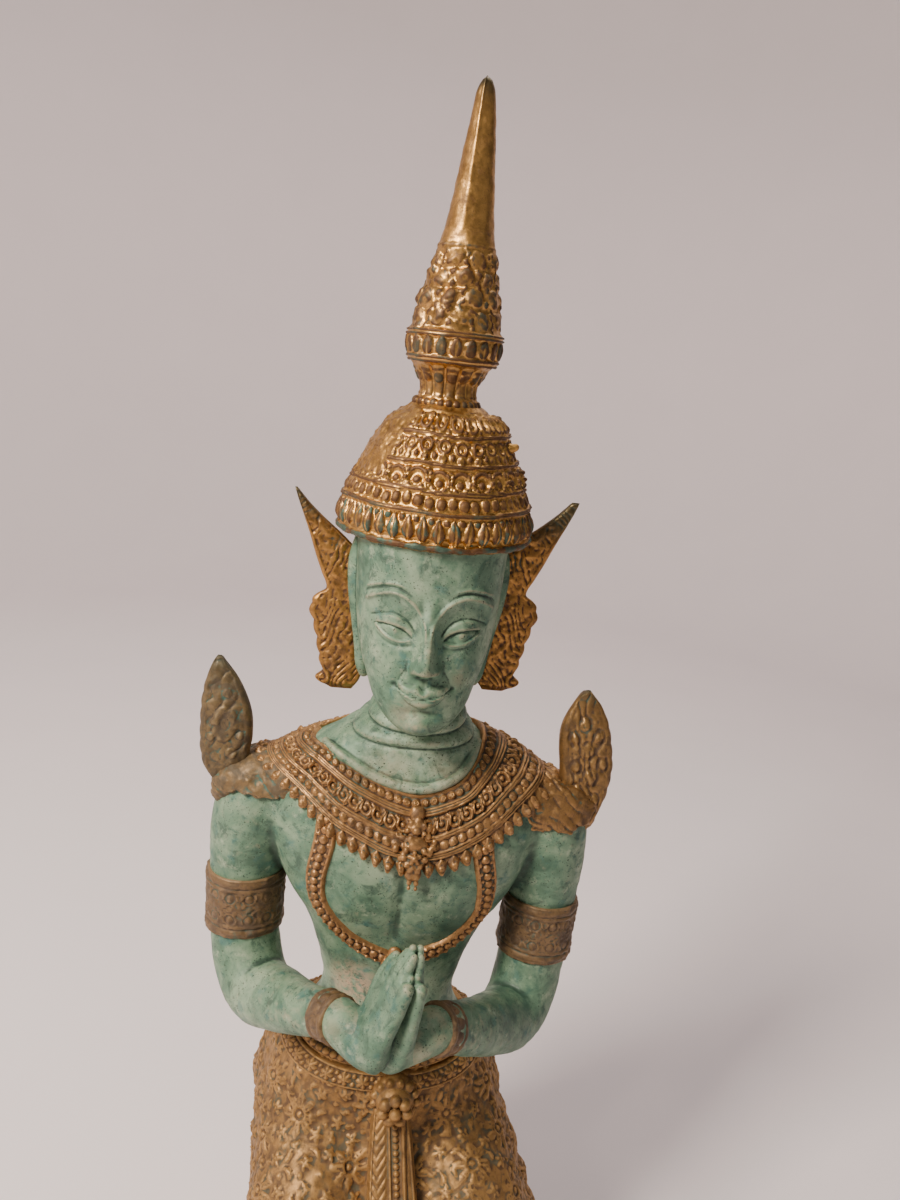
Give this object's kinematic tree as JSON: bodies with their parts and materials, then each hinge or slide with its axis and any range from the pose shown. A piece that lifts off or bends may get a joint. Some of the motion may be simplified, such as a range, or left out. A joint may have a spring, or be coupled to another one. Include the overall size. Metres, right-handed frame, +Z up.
{
  "type": "kneeling theppanom statue",
  "caption": "Cast bronze kneeling celestial figure with palms pressed together, tiered pointed crown, broad beaded collar and patterned skirt, on a low base in one with it",
  "frame": {"origin": "On the flat underside of the base, under the axis of the crown and neck", "axes": "+Z up along the body to the tip of the spire; the figure faces -Y; +X is the figure's own left hand side"},
  "size_m": [0.0955, 0.101, 0.3],
  "materials": {
    "verdigris_bronze": "matte",
    "gilt_bronze": "satin"
  },
  "bodies": {
    "root": {"theppanom_statue": "verdigris_bronze"}
  },
  "joints": []
}
